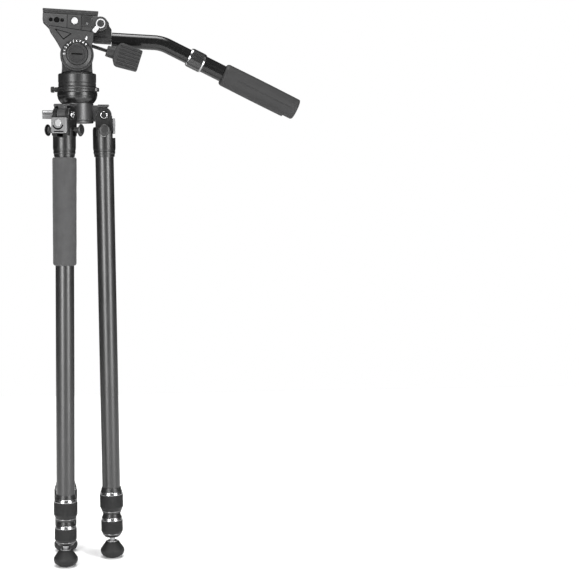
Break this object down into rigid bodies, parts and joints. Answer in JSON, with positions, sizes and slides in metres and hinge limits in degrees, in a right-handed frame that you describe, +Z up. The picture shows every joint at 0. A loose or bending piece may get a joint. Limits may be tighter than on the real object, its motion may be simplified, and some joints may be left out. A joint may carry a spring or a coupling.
{
  "type": "tripod with fluid head",
  "caption": "Folded video tripod: twist-lock telescoping legs on a spider hub, a bowl, and a fluid head with camera plate, drag dial, tilt knob and telescoping pan handle.",
  "frame": {"origin": "centre of the whole box on the floor plane, at the feet", "axes": "+Z up along the folded legs, +X towards the pan handle's grip, the dial side faces -Y"},
  "size_m": [0.425, 0.1298, 0.9063],
  "materials": {
    "black_metal": "satin black anodised",
    "gloss_black": "gloss black",
    "bar_gloss": "gloss black",
    "hub_metal": "satin dark grey",
    "port_metal": "satin grey",
    "lock_metal": "fine blasted silver grey",
    "tube_black": "satin black, fine lengthwise grain",
    "chrome": "polished",
    "steel": "machined",
    "grip_rubber": "matte",
    "lock_rubber": "matte knurled",
    "foot_rubber": "matte",
    "foam": "matte closed-cell foam",
    "white_plastic": "white"
  },
  "bodies": {
    "tripod_hub": {"spider_hub": "hub_metal", "accessory_port": "port_metal", "apex_bowl": "gloss_black", "head_screw": "steel", "pan_base": "black_metal", "bubble_level": "gloss_black"},
    "pan_lock_knob": {"pan_lock_knob": "black_metal"},
    "pan_platform": {"pan_drum": "black_metal", "tilt_yoke": "black_metal", "tilt_drag_cartridge": "steel", "counterbalance_spring": "steel"},
    "tilt_platform": {"tilt_cradle": "black_metal", "tilt_axle": "black_metal"},
    "drag_dial": {"drag_dial": "black_metal", "dial_cap": "black_metal"},
    "plate_button": {"plate_button": "white_plastic"},
    "clamp_jaw": {"clamp_jaw": "black_metal"},
    "camera_plate": {"camera_plate": "black_metal"},
    "camera_screw": {"camera_screw": "chrome"},
    "handle_mount": {"handle_mount": "black_metal", "handle_bar": "bar_gloss"},
    "handle_lever": {"handle_lever": "white_plastic"},
    "handle_sleeve": {"handle_sleeve": "black_metal", "handle_grip": "grip_rubber"},
    "handle_collar": {"handle_collar": "lock_rubber"},
    "tilt_lock_knob": {"tilt_lock_knob": "grip_rubber"},
    "leg_1": {"leg_1_bracket": "black_metal", "leg_1_hinge_bolt": "chrome", "leg_1_upper_tube": "tube_black"},
    "leg_1_catch": {"leg_1_angle_lock": "lock_metal", "leg_1_release_pin": "lock_rubber"},
    "leg_1_upper_lock": {"leg_1_upper_lock": "lock_rubber"},
    "leg_1_middle": {"leg_1_middle_tube": "tube_black"},
    "leg_1_lower_lock": {"leg_1_lower_lock": "lock_rubber"},
    "leg_1_lower": {"leg_1_lower_tube": "tube_black", "leg_1_foot_stem": "chrome"},
    "leg_1_foot": {"leg_1_foot": "foot_rubber"},
    "leg_2": {"leg_2_bracket": "black_metal", "leg_2_hinge_bolt": "chrome", "leg_2_upper_tube": "tube_black", "leg_2_foam_grip": "foam"},
    "leg_2_catch": {"leg_2_angle_lock": "lock_metal", "leg_2_release_pin": "lock_rubber"},
    "leg_2_upper_lock": {"leg_2_upper_lock": "lock_rubber"},
    "leg_2_middle": {"leg_2_middle_tube": "tube_black"},
    "leg_2_lower_lock": {"leg_2_lower_lock": "lock_rubber"},
    "leg_2_lower": {"leg_2_lower_tube": "tube_black", "leg_2_foot_stem": "chrome"},
    "leg_2_foot": {"leg_2_foot": "foot_rubber"},
    "leg_3": {"leg_3_bracket": "black_metal", "leg_3_hinge_bolt": "chrome", "leg_3_upper_tube": "tube_black"},
    "leg_3_catch": {"leg_3_angle_lock": "lock_metal", "leg_3_release_pin": "lock_rubber"},
    "leg_3_upper_lock": {"leg_3_upper_lock": "lock_rubber"},
    "leg_3_middle": {"leg_3_middle_tube": "tube_black"},
    "leg_3_lower_lock": {"leg_3_lower_lock": "lock_rubber"},
    "leg_3_lower": {"leg_3_lower_tube": "tube_black", "leg_3_foot_stem": "chrome"},
    "leg_3_foot": {"leg_3_foot": "foot_rubber"}
  },
  "joints": [
    {"name": "leg_1_fold", "type": "hinge", "parent": "tripod_hub", "child": "leg_1", "pos_m": [-0.113, 0, 0.737], "axis": [0, -1, 0], "range_deg": [0, 72]},
    {"name": "leg_1_angle_catch", "type": "slide", "parent": "leg_1", "child": "leg_1_catch", "axis": [0.0131, 0, -0.9999], "range_m": [0, 0.005], "stiffness_N_per_m": 400},
    {"name": "leg_1_upper_lock_turn", "type": "hinge", "parent": "leg_1", "child": "leg_1_upper_lock", "pos_m": [-0.10465, 0, 0.09906], "axis": [0.0131, 0, -0.9999], "range_deg": [0, 90]},
    {"name": "leg_1_middle_slide", "type": "slide", "parent": "leg_1", "child": "leg_1_middle", "axis": [0.0131, 0, -0.9999], "range_m": [0, 0.45]},
    {"name": "leg_1_lower_lock_turn", "type": "hinge", "parent": "leg_1_middle", "child": "leg_1_lower_lock", "pos_m": [-0.10407, 0, 0.05506], "axis": [0.0131, 0, -0.9999], "range_deg": [0, 90]},
    {"name": "leg_1_lower_slide", "type": "slide", "parent": "leg_1_middle", "child": "leg_1_lower", "axis": [0.0131, 0, -0.9999], "range_m": [0, 0.45]},
    {"name": "leg_1_foot_turn", "type": "hinge", "parent": "leg_1_lower", "child": "leg_1_foot", "pos_m": [-0.10351, 0, 0.01206], "axis": [0.0131, 0, -0.9999], "continuous": true},
    {"name": "leg_2_fold", "type": "hinge", "parent": "tripod_hub", "child": "leg_2", "pos_m": [-0.17675, -0.03681, 0.737], "axis": [-0.866, 0.5, 0], "range_deg": [0, 72]},
    {"name": "leg_2_angle_catch", "type": "slide", "parent": "leg_2", "child": "leg_2_catch", "axis": [-0.0065, -0.0113, -0.9999], "range_m": [0, 0.005], "stiffness_N_per_m": 400},
    {"name": "leg_2_upper_lock_turn", "type": "hinge", "parent": "leg_2", "child": "leg_2_upper_lock", "pos_m": [-0.18093, -0.04404, 0.09906], "axis": [-0.0065, -0.0113, -0.9999], "range_deg": [0, 90]},
    {"name": "leg_2_middle_slide", "type": "slide", "parent": "leg_2", "child": "leg_2_middle", "axis": [-0.0065, -0.0113, -0.9999], "range_m": [0, 0.45]},
    {"name": "leg_2_lower_lock_turn", "type": "hinge", "parent": "leg_2_middle", "child": "leg_2_lower_lock", "pos_m": [-0.18121, -0.04454, 0.05506], "axis": [-0.0065, -0.0113, -0.9999], "range_deg": [0, 90]},
    {"name": "leg_2_lower_slide", "type": "slide", "parent": "leg_2_middle", "child": "leg_2_lower", "axis": [-0.0065, -0.0113, -0.9999], "range_m": [0, 0.45]},
    {"name": "leg_2_foot_turn", "type": "hinge", "parent": "leg_2_lower", "child": "leg_2_foot", "pos_m": [-0.18149, -0.04503, 0.01206], "axis": [-0.0065, -0.0113, -0.9999], "continuous": true},
    {"name": "leg_3_fold", "type": "hinge", "parent": "tripod_hub", "child": "leg_3", "pos_m": [-0.17675, 0.03681, 0.737], "axis": [0.866, 0.5, 0], "range_deg": [0, 72]},
    {"name": "leg_3_angle_catch", "type": "slide", "parent": "leg_3", "child": "leg_3_catch", "axis": [-0.0065, 0.0113, -0.9999], "range_m": [0, 0.005], "stiffness_N_per_m": 400},
    {"name": "leg_3_upper_lock_turn", "type": "hinge", "parent": "leg_3", "child": "leg_3_upper_lock", "pos_m": [-0.18093, 0.04404, 0.09906], "axis": [-0.0065, 0.0113, -0.9999], "range_deg": [0, 90]},
    {"name": "leg_3_middle_slide", "type": "slide", "parent": "leg_3", "child": "leg_3_middle", "axis": [-0.0065, 0.0113, -0.9999], "range_m": [0, 0.45]},
    {"name": "leg_3_lower_lock_turn", "type": "hinge", "parent": "leg_3_middle", "child": "leg_3_lower_lock", "pos_m": [-0.18121, 0.04454, 0.05506], "axis": [-0.0065, 0.0113, -0.9999], "range_deg": [0, 90]},
    {"name": "leg_3_lower_slide", "type": "slide", "parent": "leg_3_middle", "child": "leg_3_lower", "axis": [-0.0065, 0.0113, -0.9999], "range_m": [0, 0.45]},
    {"name": "leg_3_foot_turn", "type": "hinge", "parent": "leg_3_lower", "child": "leg_3_foot", "pos_m": [-0.18149, 0.04503, 0.01206], "axis": [-0.0065, 0.0113, -0.9999], "continuous": true},
    {"name": "pan_lock_turn", "type": "hinge", "parent": "tripod_hub", "child": "pan_lock_knob", "pos_m": [-0.1935, 0, 0.778], "axis": [-1, 0, 0], "range_deg": [0, 300]},
    {"name": "pan", "type": "hinge", "parent": "tripod_hub", "child": "pan_platform", "pos_m": [-0.1555, 0, 0.79], "axis": [0, 0, 1], "continuous": true},
    {"name": "tilt", "type": "hinge", "parent": "pan_platform", "child": "tilt_platform", "pos_m": [-0.1555, 0, 0.8335], "axis": [0, -1, 0], "range_deg": [-40, 80]},
    {"name": "drag_dial_turn", "type": "hinge", "parent": "tilt_platform", "child": "drag_dial", "pos_m": [-0.1555, -0.027, 0.8335], "axis": [0, 1, 0], "range_deg": [0, 135]},
    {"name": "plate_button_press", "type": "slide", "parent": "tilt_platform", "child": "plate_button", "axis": [0, 1, 0], "range_m": [0, 0.0022], "stiffness_N_per_m": 300},
    {"name": "clamp_jaw_slide", "type": "slide", "parent": "tilt_platform", "child": "clamp_jaw", "axis": [0, -1, 0], "range_m": [0, 0.003]},
    {"name": "camera_plate_slide", "type": "slide", "parent": "tilt_platform", "child": "camera_plate", "axis": [-0.9987, 0, 0.0506], "range_m": [0, 0.04]},
    {"name": "camera_screw_turn", "type": "hinge", "parent": "camera_plate", "child": "camera_screw", "pos_m": [-0.16514, 0, 0.90007], "axis": [0.0506, 0, 0.9987], "continuous": true},
    {"name": "handle_rosette", "type": "hinge", "parent": "tilt_platform", "child": "handle_mount", "pos_m": [-0.11748, 0.01, 0.88234], "axis": [0, 1, 0], "range_deg": [-70, 0]},
    {"name": "handle_lever_turn", "type": "hinge", "parent": "tilt_platform", "child": "handle_lever", "pos_m": [-0.11748, -0.026, 0.88234], "axis": [0, -1, 0], "range_deg": [0, 120]},
    {"name": "handle_telescope", "type": "slide", "parent": "handle_mount", "child": "handle_sleeve", "axis": [0.8988, 0, -0.4384], "range_m": [0, 0.1]},
    {"name": "handle_collar_turn", "type": "hinge", "parent": "handle_sleeve", "child": "handle_collar", "pos_m": [0.03939, 0.01, 0.82742], "axis": [0.8988, 0, -0.4384], "range_deg": [0, 90]},
    {"name": "tilt_lock_turn", "type": "hinge", "parent": "tilt_platform", "child": "tilt_lock_knob", "pos_m": [-0.13425, -0.0198, 0.84784], "axis": [0.9537, 0, -0.3007], "range_deg": [0, 300]}
  ]
}
